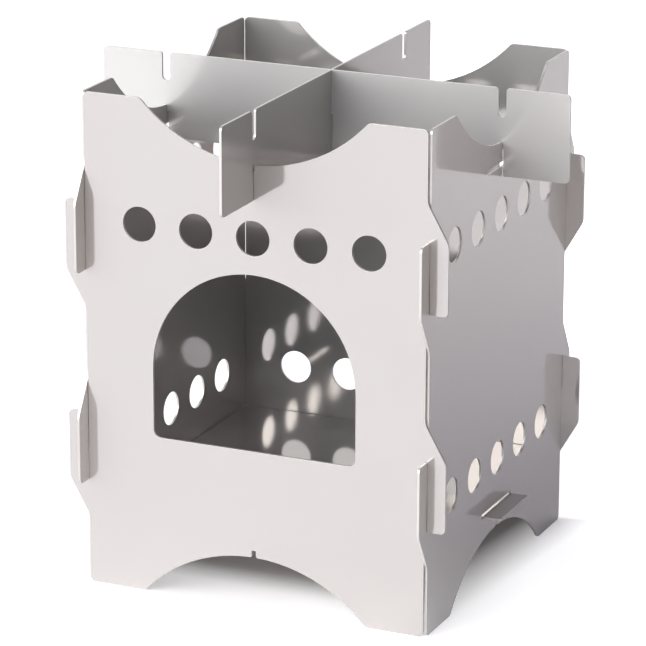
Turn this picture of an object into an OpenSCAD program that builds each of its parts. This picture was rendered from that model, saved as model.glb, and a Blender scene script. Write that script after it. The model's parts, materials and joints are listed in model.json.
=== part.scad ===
// Flat-pack twig stove
//
// Seven flat pieces, laser cut from one gauge of stainless sheet, lock together
// with no fastener. Four walls hook over one another at the corners, a floor
// plate is held by a tab in each side wall, and two crossed bars drop into the
// notches of the walls and carry the pot.
// The door faces -Y, and the origin is on the ground in the middle of the stove.

/* [Sheet] */
// Thickness of the sheet that every piece is cut from
sheet_t = 1; // [0.8:0.1:1.2]
// Play on each side of a sheet in the hooks' slots
hook_play = 0.1; // [0.1:0.05:0.3]
// Play on each side of a sheet in the slots of the pot bars and of the dips
bar_play = 0.4; // [0.3:0.05:0.6]

/* [Walls] */
// Distance between the middle planes of two facing walls
wall_span = 144; // [136:1:160]
// Height of the walls
wall_h = 200; // [195:1:230]
// Rounding of the walls' four corners
wall_corner_r = 2; // [1:0.5:4]
// Chord of the round dip in the top and bottom edges
dip_w = 95; // [80:1:100]
// Depth of the dip in its middle
dip_depth = 21.2; // [16:0.2:22]
// Rounding where a dip runs out into its edge
dip_rim_r = 3; // [1:0.5:3]
// Depth of the small notch in the middle of each dip
notch_depth = 2.8; // [2:0.1:4]
// Rounding of the notch's mouth
notch_mouth_r = 0.8; // [0.4:0.1:1]

/* [Corner hooks] */
// Distance between the middles of a wall's lower and upper hook
hook_pitch = 86; // [78:1:90]
// Height over which two hooks lap, half of it slot and half of it tooth
hook_lap = 28; // [22:1:30]
// How far a hook reaches past the middle plane of the wall that it holds
hook_reach = 8; // [7:0.5:12]
// Height of the slant that leads from a hook back to the wall's edge
hook_slant_h = 15; // [10:1:16]
// Rounding at both ends of the slant
hook_slant_r = 6; // [3:0.5:7]
// Rounding of the outer corner of a hook's tip
hook_tip_r = 2; // [1:0.5:3]

/* [Vents] */
// Diameter of a vent
vent_d = 14; // [10:0.5:16]
// Distance between the vents of a row
vent_pitch = 24; // [20:0.5:26]
// Number of vents in a row
vent_count = 5; // [3:1:5]
// Height of the lower row, which the upper row repeats below the top edge
vent_z = 50; // [45:1:60]

/* [Door] */
// Width of the door, and the diameter of its round head
door_w = 85.6; // [70:0.2:90]
// Sheet left between the crown of the door and the vents above it
door_crown_gap = 7.4; // [4:0.1:10]
// Height of the door's straight sides
door_side_h = 28.1; // [20:0.1:34]
// Rounding of the door's two lower corners
door_corner_r = 3; // [1:0.5:6]

/* [Floor plate] */
// Height of the floor plate's underside
floor_z = 29; // [27:0.5:34]
// Gap between the floor plate and the inner face of each wall
floor_gap = 0.5; // [0.3:0.1:1]
// Rounding of the floor plate's corners
floor_corner_r = 2; // [1:0.5:5]
// Width of the tabs that pass through the side walls
tab_w = 30; // [20:1:36]
// Play at each end of a tab in its slot
tab_end_play = 1; // [0.3:0.1:1.5]
// Free height above a tab in its slot
tab_top_play = 1; // [0.4:0.1:1.5]
// How far a tab reaches past the middle plane of its side wall
tab_reach = 8; // [5:0.5:12]
// Rounding of a tab's outer corners
tab_corner_r = 1; // [0.5:0.5:3]

/* [Pot bars] */
// How far a bar reaches past the middle plane of the wall that carries it
bar_reach = 28; // [18:1:36]
// Height of a bar, whose top edge is level with the walls
bar_h = 35; // [32:0.5:40]
// Rounding of a bar's four corners
bar_corner_r = 2; // [1:0.5:4]
// Width of the round notch above each end slot
grip_w = 3.5; // [2.5:0.1:5]
// Depth of that notch
grip_depth = 11.5; // [8:0.5:12]
// Rounding of the notch's mouth
grip_mouth_r = 1.2; // [0.6:0.1:2]
// Gap between the two bars where their half-height slots meet
cross_gap = 0.4; // [0.1:0.1:1]

/* [Hidden] */

// Middle plane of a wall, and the plain edge that stops short of it
wall_mid = wall_span / 2;
edge_u = wall_mid - sheet_t / 2 - hook_play;
inner_face = wall_mid - sheet_t / 2;

// Lower and upper hooks lie alike about the middle of the wall's height
hook_levels = [for (side = [-1, 1]) wall_h / 2 + side * hook_pitch / 2];

// Circle of the dips
dip_r = (pow(dip_w / 2, 2) + pow(dip_depth, 2)) / (2 * dip_depth);
dip_half_angle = asin(dip_w / 2 / dip_r);

// Slots for the pot bars, and the height at which a bar sits on a wall
bar_slot_w = sheet_t + 2 * bar_play;
bar_slot_depth = bar_h - dip_depth - notch_depth;

// Slot of a floor tab, and the height of the spare slot near the top edge
tab_slot_w = tab_w + 2 * tab_end_play;
tab_slot_h = sheet_t + tab_top_play;

// Foot of the door's round head, and the sill
door_spring_z = wall_h - vent_z - vent_d / 2 - door_crown_gap - door_w / 2;
door_sill_z = door_spring_z - door_side_h;

// Small rounding of inner corners, and the angle between points of an arc
relief_r = 0.3;
arc_step = 12;
$fn = 96;

// Points of the outlines

function unit(v) = v / norm(v);
function turned(v, angle) = [v.x * cos(angle) - v.y * sin(angle),
                             v.x * sin(angle) + v.y * cos(angle)];

// Arc of radius r in place of the corner p between its neighbours a and b
function rounded_corner(a, p, b, r) =
    let (to_a = unit(a - p),
         to_b = unit(b - p),
         half = acos(to_a * to_b) / 2,
         centre = p + unit(to_a + to_b) * r / sin(half),
         start = p + to_a * r / tan(half) - centre,
         sweep = (180 - 2 * half) * (cross(to_a, to_b) > 0 ? -1 : 1),
         steps = ceil(abs(sweep) / arc_step))
    [for (i = [0 : steps]) centre + turned(start, sweep * i / steps)];

// Outline whose corners are [x, y, radius], with radius 0 for a sharp one
function rounded(corners) =
    let (n = len(corners),
         at = [for (c = corners) [c.x, c.y]])
    [for (i = [0 : n - 1])
        each corners[i].z == 0 ? [at[i]]
           : rounded_corner(at[(i + n - 1) % n], at[i], at[(i + 1) % n], corners[i].z)];

// The same corners after half a turn about the point [0, height / 2]
function half_turn(corners, height) = [for (c = corners) [-c.x, height - c.y, c.z]];

// Slot that goes up from a bottom edge, as corners from left to right
function slot_corners(x, width, depth, mouth_r, end_r) =
    [[x - width / 2, 0, mouth_r], [x - width / 2, depth, end_r],
     [x + width / 2, depth, end_r], [x + width / 2, 0, mouth_r]];

// Right edge of a wall at one hook: slot from below, tooth over the neighbour,
// and the slant back to the plain edge
function hook_corners(level) =
    [[edge_u, level, relief_r],
     [wall_mid + sheet_t / 2 + hook_play, level, relief_r],
     [wall_mid + sheet_t / 2 + hook_play, level - hook_lap / 2, relief_r],
     [wall_mid + hook_reach, level - hook_lap / 2, hook_tip_r],
     [wall_mid + hook_reach, level + hook_lap / 2, hook_slant_r],
     [edge_u, level + hook_lap / 2 + hook_slant_h, hook_slant_r]];

// Top edge of a wall from right to left: dip, notch, dip
function dip_corners() =
    let (steps = 12,
         notch_angle = asin(bar_slot_w / 2 / dip_r),
         dip_point = function (angle) [dip_r * sin(angle),
             wall_h + dip_r * cos(dip_half_angle) - dip_r * cos(angle)],
         right_side = [for (i = [0 : steps])
             let (p = dip_point(dip_half_angle + (notch_angle - dip_half_angle) * i / steps))
             [p.x, p.y, i == 0 ? dip_rim_r : i == steps ? notch_mouth_r : 0]],
         notch_z = wall_h - dip_depth - notch_depth)
    concat(right_side,
           [[bar_slot_w / 2, notch_z, relief_r], [-bar_slot_w / 2, notch_z, relief_r]],
           [for (i = [steps : -1 : 0]) [-right_side[i].x, right_side[i].y, right_side[i].z]]);

// A wall is the same after half a turn, so its outline is one half, used twice
function wall_corners() =
    let (half = concat([[edge_u, 0, wall_corner_r]],
                       hook_corners(hook_levels[0]),
                       hook_corners(hook_levels[1]),
                       [[edge_u, wall_h, wall_corner_r]],
                       dip_corners()))
    concat(half, half_turn(half, wall_h));

// Flat shapes, seen from outside the stove

module vent_row(z) {
    for (i = [0 : vent_count - 1])
        translate([(i - (vent_count - 1) / 2) * vent_pitch, z])
            circle(d = vent_d);
}

module door() {
    intersection() {
        translate([0, door_spring_z])
            circle(d = door_w);
        translate([-door_w / 2, door_spring_z])
            square([door_w, door_w / 2]);
    }
    polygon(rounded([[-door_w / 2, door_sill_z, door_corner_r],
                     [door_w / 2, door_sill_z, door_corner_r],
                     [door_w / 2, door_spring_z, 0],
                     [-door_w / 2, door_spring_z, 0]]));
}

module tab_slot(z) {
    translate([-tab_slot_w / 2, z])
        square([tab_slot_w, tab_slot_h]);
}

module front_sheet() {
    difference() {
        polygon(rounded(wall_corners()));
        door();
        vent_row(wall_h - vent_z);
    }
}

module back_sheet() {
    difference() {
        polygon(rounded(wall_corners()));
        vent_row(vent_z);
        vent_row(wall_h - vent_z);
    }
}

// A side wall also has the slot of the floor tab, and a spare one near the top
module side_sheet() {
    difference() {
        back_sheet();
        tab_slot(floor_z);
        tab_slot(wall_h - floor_z - tab_slot_h);
    }
}

module floor_sheet() {
    half = inner_face - floor_gap;
    tab_x = wall_mid + tab_reach;
    right_side = [[half, -half, floor_corner_r],
                  [half, -tab_w / 2, relief_r],
                  [tab_x, -tab_w / 2, tab_corner_r],
                  [tab_x, tab_w / 2, tab_corner_r],
                  [half, tab_w / 2, relief_r],
                  [half, half, floor_corner_r]];
    polygon(rounded(concat(right_side, half_turn(right_side, 0))));
}

// Bar with the slots that straddle two facing walls, a grip notch above each,
// and a half-height slot in the middle of its bottom or its top edge
module bar_sheet(centre_slot_in_bottom) {
    half_length = wall_mid + bar_reach;
    end_slots = [for (x = [-wall_mid, wall_mid])
        slot_corners(x, bar_slot_w, bar_slot_depth, relief_r, relief_r)];
    grips = [for (x = [-wall_mid, wall_mid])
        slot_corners(x, grip_w, grip_depth, grip_mouth_r, grip_w / 2)];
    centre_slot = slot_corners(0, bar_slot_w, (bar_h + cross_gap) / 2, relief_r, relief_r);
    bottom_edge = concat([[-half_length, 0, bar_corner_r]],
                         end_slots[0],
                         centre_slot_in_bottom ? centre_slot : [],
                         end_slots[1],
                         [[half_length, 0, bar_corner_r]]);
    top_edge = concat([[-half_length, 0, bar_corner_r]],
                      grips[0],
                      centre_slot_in_bottom ? [] : centre_slot,
                      grips[1],
                      [[half_length, 0, bar_corner_r]]);
    polygon(rounded(concat(bottom_edge, half_turn(top_edge, bar_h))));
}

// Sheets stood up in their places

// Stands a flat shape on its bottom edge, at a distance from the middle, facing -Y
module stand(distance) {
    translate([0, sheet_t / 2 - distance, 0])
        rotate([90, 0, 0])
            linear_extrude(sheet_t)
                children();
}

module front_wall() {
    color([0.87, 0.86, 0.85])
        stand(wall_mid)
            front_sheet();
}

module right_wall() {
    color([0.65, 0.63, 0.65])
        rotate([0, 0, 90])
            stand(wall_mid)
                side_sheet();
}

module back_wall() {
    color([0.75, 0.74, 0.74])
        rotate([0, 0, 180])
            stand(wall_mid)
                back_sheet();
}

module left_wall() {
    color([0.7, 0.69, 0.7])
        rotate([0, 0, 270])
            stand(wall_mid)
                side_sheet();
}

module floor_plate() {
    color([0.6, 0.59, 0.58])
        translate([0, 0, floor_z])
            linear_extrude(sheet_t)
                floor_sheet();
}

module lower_pot_bar() {
    color([0.55, 0.53, 0.52])
        translate([0, 0, wall_h - bar_h])
            rotate([0, 0, 90])
                stand(0)
                    bar_sheet(false);
}

module upper_pot_bar() {
    color([0.8, 0.79, 0.78])
        translate([0, 0, wall_h - bar_h])
            stand(0)
                bar_sheet(true);
}

front_wall();
right_wall();
back_wall();
left_wall();
floor_plate();
lower_pot_bar();
upper_pot_bar();
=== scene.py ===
import math

import bpy
from mathutils import Matrix, Vector
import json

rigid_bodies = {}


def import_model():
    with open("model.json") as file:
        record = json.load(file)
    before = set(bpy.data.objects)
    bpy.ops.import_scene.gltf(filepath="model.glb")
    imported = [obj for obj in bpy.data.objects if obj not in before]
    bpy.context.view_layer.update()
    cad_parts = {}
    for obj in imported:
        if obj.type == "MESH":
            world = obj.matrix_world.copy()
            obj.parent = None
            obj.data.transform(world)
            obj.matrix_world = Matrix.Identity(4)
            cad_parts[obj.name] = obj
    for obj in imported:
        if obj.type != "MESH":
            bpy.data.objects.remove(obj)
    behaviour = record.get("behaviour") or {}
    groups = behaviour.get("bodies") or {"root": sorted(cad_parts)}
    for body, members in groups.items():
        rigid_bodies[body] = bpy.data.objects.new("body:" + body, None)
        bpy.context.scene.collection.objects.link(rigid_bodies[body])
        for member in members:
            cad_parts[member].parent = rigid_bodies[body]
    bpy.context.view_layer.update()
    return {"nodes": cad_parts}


for leftover in list(bpy.data.objects):
    bpy.data.objects.remove(leftover)
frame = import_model()
sheet = frame["nodes"]


# Front wall: 1 mm cold-rolled stainless sheet, laser cut to its outline with the fuel door and a row of
# vents, and left as it came from the mill. The rollers leave a bright, hazy face with a fine upright
# grain, and the laser leaves a duller edge with ribs across the thickness.
STEEL = (0.565, 0.54, 0.52)
STEEL_DULL = (0.55, 0.523, 0.503)
CUT_STEEL = (0.53, 0.51, 0.49)


def bare_tree(owner, output_kind):
    """Clears the nodes of a material or world and gives it a new output."""
    owner.use_nodes = True
    tree = owner.node_tree
    tree.nodes.clear()
    return tree, tree.nodes.new(output_kind)


def feed(tree, value, socket):
    """Links a socket to another one, or sets it to a plain number or colour."""
    if isinstance(value, bpy.types.NodeSocket):
        tree.links.new(value, socket)
    elif isinstance(value, tuple):
        socket.default_value = (*value, 1)
    else:
        socket.default_value = value


def number(tree, operation, *values):
    """Joins sockets or plain numbers one after another with a Math operation."""
    total = values[0]
    for value in values[1:]:
        node = tree.nodes.new("ShaderNodeMath")
        node.operation = operation
        feed(tree, total, node.inputs[0])
        feed(tree, value, node.inputs[1])
        total = node.outputs[0]
    return total


def spread(tree, value, low, high, to_low, to_high):
    """Maps a socket's range low to high onto another range."""
    node = tree.nodes.new("ShaderNodeMapRange")
    limits = {"From Min": low, "From Max": high, "To Min": to_low, "To Max": to_high}
    for limit, figure in limits.items():
        node.inputs[limit].default_value = figure
    tree.links.new(value, node.inputs["Value"])
    return node.outputs["Result"]


def blended(tree, kind, share, first, second):
    """Number or colour that goes from first to second as share goes from 0 to 1."""
    node = tree.nodes.new("ShaderNodeMix")
    node.data_type = kind
    tree.links.new(share, node.inputs[0])
    first_at, second_at, result_at = {"FLOAT": (2, 3, 0), "RGBA": (6, 7, 2)}[kind]
    feed(tree, first, node.inputs[first_at])
    feed(tree, second, node.inputs[second_at])
    return node.outputs[result_at]


def stretched_noise(tree, place, periods, detail, roughness):
    """Noise whose spots have the given length in metres along x, y and z."""
    mapping = tree.nodes.new("ShaderNodeMapping")
    mapping.inputs["Scale"].default_value = [1 / period for period in periods]
    tree.links.new(place, mapping.inputs["Vector"])
    noise = tree.nodes.new("ShaderNodeTexNoise")
    noise.inputs["Scale"].default_value = 1.0
    noise.inputs["Detail"].default_value = detail
    noise.inputs["Roughness"].default_value = roughness
    tree.links.new(mapping.outputs["Vector"], noise.inputs["Vector"])
    return noise.outputs["Fac"]


def rolled_stainless(name, across, along, haze, bloom_index, mirror):
    """Rolled stainless whose faces lie square to the axis across, with its grain running along."""
    grain_pitch, grain_length, grain_depth, grain_haze = 0.00035, 0.04, 2.5e-6, 0.01
    cloud_size, smudge_size = 0.05, 0.018
    cloud_span, smudge_span, grain_span = (0.35, 0.65), (0.35, 0.7), (0.3, 0.7)
    clear_spot, smudged_spot = haze - 0.012, haze + 0.02
    bloom_haze = 0.64
    rib_pitch, rib_depth, rib_haze, sheet_through = 0.00022, 2.5e-5, 0.34, 1.0
    on_cut, on_face = 0.5, 0.8
    bright, dull = [tuple(part * mirror for part in colour) for colour in (STEEL, STEEL_DULL)]

    material = bpy.data.materials.new(name)
    tree, output = bare_tree(material, "ShaderNodeOutputMaterial")
    shader = tree.nodes.new("ShaderNodeBsdfPrincipled")
    tree.links.new(shader.outputs[0], output.inputs["Surface"])
    shader.inputs["Metallic"].default_value = 1.0
    shader.inputs["Coat Weight"].default_value = 1.0
    shader.inputs["Coat Roughness"].default_value = bloom_haze
    shader.inputs["Coat IOR"].default_value = bloom_index

    surface = tree.nodes.new("ShaderNodeTexCoord")
    place = surface.outputs["Object"]
    turned = tree.nodes.new("ShaderNodeSeparateXYZ")
    tree.links.new(surface.outputs["Normal"], turned.inputs[0])
    facing = number(tree, "ABSOLUTE", turned.outputs["XYZ".index(across)], 0)
    cut = spread(tree, facing, on_cut, on_face, 1, 0)

    grain_periods = [grain_length if axis == along else grain_pitch for axis in "XYZ"]
    rib_periods = [sheet_through if axis == across else rib_pitch for axis in "XYZ"]
    grain = stretched_noise(tree, place, grain_periods, detail=3.0, roughness=0.6)
    clouds = stretched_noise(tree, place, [cloud_size] * 3, detail=3.0, roughness=0.55)
    smudges = stretched_noise(tree, place, [smudge_size] * 3, detail=4.0, roughness=0.6)
    ribs = stretched_noise(tree, place, rib_periods, detail=2.0, roughness=0.5)

    face_colour = blended(tree, "RGBA", spread(tree, clouds, *cloud_span, 0, 1), bright, dull)
    tree.links.new(blended(tree, "RGBA", cut, face_colour, CUT_STEEL), shader.inputs["Base Color"])

    face_haze = number(tree, "ADD",
                       spread(tree, smudges, *smudge_span, clear_spot, smudged_spot),
                       spread(tree, grain, *grain_span, -grain_haze, grain_haze))
    tree.links.new(blended(tree, "FLOAT", cut, face_haze, rib_haze), shader.inputs["Roughness"])

    relief = tree.nodes.new("ShaderNodeBump")
    relief.inputs["Strength"].default_value = 1.0
    relief.inputs["Distance"].default_value = 1.0
    tree.links.new(blended(tree, "FLOAT", cut, number(tree, "MULTIPLY", grain, grain_depth),
                           number(tree, "MULTIPLY", ribs, rib_depth)), relief.inputs["Height"])
    tree.links.new(relief.outputs["Normal"], shader.inputs["Normal"])
    return material


def finish_sheet(name, across, along, haze=0.08, bloom_index=3.6, mirror=1.0):
    """Breaks the sharp edges of a cut sheet and gives it its steel."""
    break_width, flat_angle, edge_angle = 0.00007, math.radians(0.4), math.radians(60)
    piece = sheet[name]
    weld = piece.modifiers.new("one_skin", "WELD")
    weld.merge_threshold = 1e-7
    flats = piece.modifiers.new("whole_flats", "DECIMATE")
    flats.decimate_type = "DISSOLVE"
    flats.angle_limit = flat_angle
    broken = piece.modifiers.new("broken_edges", "BEVEL")
    broken.width = break_width
    broken.segments = 2
    broken.limit_method = "ANGLE"
    broken.angle_limit = edge_angle
    broken.use_clamp_overlap = False
    broken.harden_normals = True
    steel = rolled_stainless(name + "_steel", across, along, haze, bloom_index, mirror)
    piece.material_slots[0].material = steel


finish_sheet("front_wall", "Y", "Z", bloom_index=2.6, mirror=0.94)


# Side walls: the same sheet with two rows of vents, and a long slot at the foot and at the top for a tab
# of the floor plate. Like every wall they have hooks that open downwards at one edge and upwards at the
# other, and so slide into their neighbours.
finish_sheet("right_wall", "X", "Z")
finish_sheet("left_wall", "X", "Z", bloom_index=2.6)


# Back wall: the same sheet with two rows of vents and no door, hooked to the side walls in the same way.
# Nothing but the hooks holds it: there is no weld, rivet or screw.
finish_sheet("back_wall", "Y", "Z")


# Floor plate: a square of the same sheet that carries the fire. A tab at each side passes out through the
# slot of a side wall, and nothing else holds it. Its grain runs from front to back.
finish_sheet("floor_plate", "Z", "Y", bloom_index=2.3, mirror=0.85)


# Pot bars: two strips of the same sheet, hazier than the walls, that slot into each other at half height
# and straddle the walls' notches. Both lift straight out by hand.
finish_sheet("lower_pot_bar", "X", "Y", haze=0.15, mirror=0.8)
finish_sheet("upper_pot_bar", "Y", "X", haze=0.15, bloom_index=6.2, mirror=0.45)


# Studio: a large sheet of white paper under the stove, a small lamp high behind it, and a dim room with a
# pale wall behind and a large soft box at the front left, which give most of the light.
def reach(tree, place, direction):
    """How far a place lies in a direction."""
    node = tree.nodes.new("ShaderNodeVectorMath")
    node.operation = "DOT_PRODUCT"
    node.inputs[1].default_value = direction
    tree.links.new(place, node.inputs[0])
    return node.outputs["Value"]


def white_paper():
    """Paper that reads as white and keeps the stove's real shadow, with painted shade under the stove and
    painted light and shade that only the steel sees.
    """
    # Painted shade: the second colour darkens the paper under the stove, and the third greys the paper on
    # the front right where only the steel sees it.
    paper_white, painted_shade_colour, painted_dim_colour = (0.93, 0.93, 0.935), (0.6, 0.58, 0.58), (0.6, 0.565, 0.53)
    shade_from, shade_to, lift_from, lift_to = 0.045, 0.075, 0.052, 0.08
    right, left, front = (1, -0.1, 0), (-1, 0, 0), (0, -1.5, 0)
    # Each of these is a direction, two distances from the middle of the stove, and the figure at each.
    behind_stove = ((0, 1, 0), 0.05, 0.075, 0, lift_to)
    painted_dim_side = ((0.912, -0.41, 0), 0.15, 0.3, 0, 1)
    seen_lift = ((0.912, 0.41, 0), -0.02, 0.08, 0.38, 0.72)
    # The next three are painted light that only the steel sees: a glow near the stove except on its back
    # right, a glow over the left half, and a glow far off behind on the right.
    near_painted_light = ((0.8, 0.6, 0), 0.02, 0.12, 0.28, 0)
    lamp_side_painted_light = ((-0.97, -0.24, 0), -0.06, -0.03, 0, 0.25)
    far_painted_light = ((0.4, 0.92, 0), 0.35, 0.65, 0, 0.17)
    material = bpy.data.materials.new("white_paper")
    tree, output = bare_tree(material, "ShaderNodeOutputMaterial")
    shader = tree.nodes.new("ShaderNodeBsdfPrincipled")
    shader.inputs["Roughness"].default_value = 0.9
    shader.inputs["Specular IOR Level"].default_value = 0.0
    glow = tree.nodes.new("ShaderNodeEmission")
    ray = tree.nodes.new("ShaderNodeLightPath")
    place = tree.nodes.new("ShaderNodeTexCoord").outputs["Object"]

    def towards(direction, low, high, to_low, to_high):
        """Figure that changes from to_low to to_high between two distances in a direction."""
        return spread(tree, reach(tree, place, direction), low, high, to_low, to_high)

    from_middle = number(tree, "MAXIMUM", reach(tree, place, right), reach(tree, place, left),
                         reach(tree, place, front), towards(*behind_stove))
    # Painted shade under the stove: the paper's own colour turns darker under the stove and out to just
    # past its walls, on top of its real shadow.
    paper = blended(tree, "RGBA", spread(tree, from_middle, shade_from, shade_to, 0, 1),
                    painted_shade_colour, paper_white)
    # Painted shade seen only in the steel: reflected rays see the paper turn grey on the front right
    # side.
    dim = number(tree, "MULTIPLY", ray.outputs["Is Glossy Ray"], towards(*painted_dim_side))
    tree.links.new(blended(tree, "RGBA", dim, paper, painted_dim_colour), shader.inputs["Base Color"])

    open_paper = spread(tree, from_middle, lift_from, lift_to, 0, 1)
    seen = number(tree, "MULTIPLY", ray.outputs["Is Camera Ray"], open_paper, towards(*seen_lift))
    in_steel = number(tree, "ADD", ray.outputs["Is Glossy Ray"], ray.outputs["Is Transmission Ray"])
    # Painted light seen only in the steel: reflected rays see the paper glowing, brighter on the soft
    # box's side and far behind.
    painted_light_in_steel = number(tree, "ADD", number(tree, "MULTIPLY", open_paper, towards(*near_painted_light)),
                        towards(*lamp_side_painted_light), towards(*far_painted_light))
    painted_glow_in_steel = number(tree, "MULTIPLY", in_steel, painted_light_in_steel)
    tree.links.new(number(tree, "ADD", seen, painted_glow_in_steel), glow.inputs["Strength"])

    both = tree.nodes.new("ShaderNodeAddShader")
    tree.links.new(shader.outputs[0], both.inputs[0])
    tree.links.new(glow.outputs[0], both.inputs[1])
    tree.links.new(both.outputs[0], output.inputs["Surface"])
    return material


half = 6.0
floor_mesh = bpy.data.meshes.new("studio_floor")
floor_mesh.from_pydata([(-half, -half, 0), (half, -half, 0), (half, half, 0), (-half, half, 0)],
                       [], [(0, 1, 2, 3)])
floor_mesh.materials.append(white_paper())
floor = bpy.data.objects.new("studio_floor", floor_mesh)
bpy.context.scene.collection.objects.link(floor)

lamp_place, lamp_aim = Vector((-1.5, 1.4, 2.2)), Vector((0, 0, 0.1))
light = bpy.data.lights.new("back_lamp", "AREA")
light.shape = "SQUARE"
light.size = 1.2
light.energy = 3
light.color = (1.0, 0.99, 1.0)
lamp = bpy.data.objects.new("back_lamp", light)
lamp.location = lamp_place
lamp.rotation_euler = (lamp_aim - lamp_place).to_track_quat("-Z", "Y").to_euler()
bpy.context.scene.collection.objects.link(lamp)


def studio_walls():
    """Dim room with a soft box and a pale wall; the camera sees white, and the steel does at the wall."""
    room_colour, room_low, room_high = (1, 0.95, 1.06), 0.3, 0.12
    lower_sky, upper_sky = 0.1, 0.6
    box_colour, box_strength = (1, 0.99, 0.972), 3.7
    box_towards, box_full, box_none = (-0.5, -0.82, 0.3), 22, 50
    wall_towards, wall_full, wall_none, wall_strength = (-0.45, 0.85, 0.25), 25, 50, 1.0
    world = bpy.data.worlds.new("studio_walls")
    bpy.context.scene.world = world
    tree, output = bare_tree(world, "ShaderNodeOutputWorld")
    sky = tree.nodes.new("ShaderNodeTexCoord").outputs["Generated"]

    def bright_patch(direction, full, none, strength):
        """Strength inside the angle full around a direction, fading to nothing at the angle none."""
        nearness = reach(tree, sky, Vector(direction).normalized())
        return spread(tree, nearness, math.cos(math.radians(none)), math.cos(math.radians(full)),
                      0, strength)

    soft_box = bright_patch(box_towards, box_full, box_none, box_strength)
    pale_wall = bright_patch(wall_towards, wall_full, wall_none, wall_strength)
    height = tree.nodes.new("ShaderNodeSeparateXYZ")
    tree.links.new(sky, height.inputs[0])
    dim_room = spread(tree, height.outputs["Z"], lower_sky, upper_sky, room_low, room_high)

    room = tree.nodes.new("ShaderNodeBackground")
    tree.links.new(blended(tree, "RGBA", spread(tree, soft_box, 0, box_strength, 0, 1),
                           room_colour, box_colour), room.inputs["Color"])
    tree.links.new(number(tree, "ADD", soft_box, pale_wall, dim_room), room.inputs["Strength"])
    plain_white = tree.nodes.new("ShaderNodeBackground")
    plain_white.inputs["Color"].default_value = (1, 1, 1, 1)

    ray = tree.nodes.new("ShaderNodeLightPath")
    in_steel = number(tree, "ADD", ray.outputs["Is Glossy Ray"], ray.outputs["Is Transmission Ray"])
    white_share = number(tree, "ADD", ray.outputs["Is Camera Ray"],
                         number(tree, "MULTIPLY", in_steel, pale_wall))
    mix = tree.nodes.new("ShaderNodeMixShader")
    tree.links.new(white_share, mix.inputs[0])
    tree.links.new(room.outputs[0], mix.inputs[1])
    tree.links.new(plain_white.outputs[0], mix.inputs[2])
    tree.links.new(mix.outputs[0], output.inputs["Surface"])


studio_walls()


# Camera: a long lens from the front right and a little above, aimed at the middle of the stove.
aim, distance = Vector((-0.002745, -0.001232, 0.096101)), 1.455
azimuth, elevation, roll = math.radians(24.17), math.radians(17.355), math.radians(0.154)
away = Vector((math.sin(azimuth) * math.cos(elevation), -math.cos(azimuth) * math.cos(elevation),
               math.sin(elevation)))
camera_data = bpy.data.cameras.new("camera")
camera_data.sensor_width = 36
camera_data.lens = 202.92
camera = bpy.data.objects.new("camera", camera_data)
camera.matrix_world = (Matrix.Translation(aim + away * distance)
                       @ (-away).to_track_quat("-Z", "Y").to_matrix().to_4x4()
                       @ Matrix.Rotation(roll, 4, "Z"))
bpy.context.scene.collection.objects.link(camera)
bpy.context.scene.camera = camera
bpy.context.scene.view_settings.view_transform = "Standard"
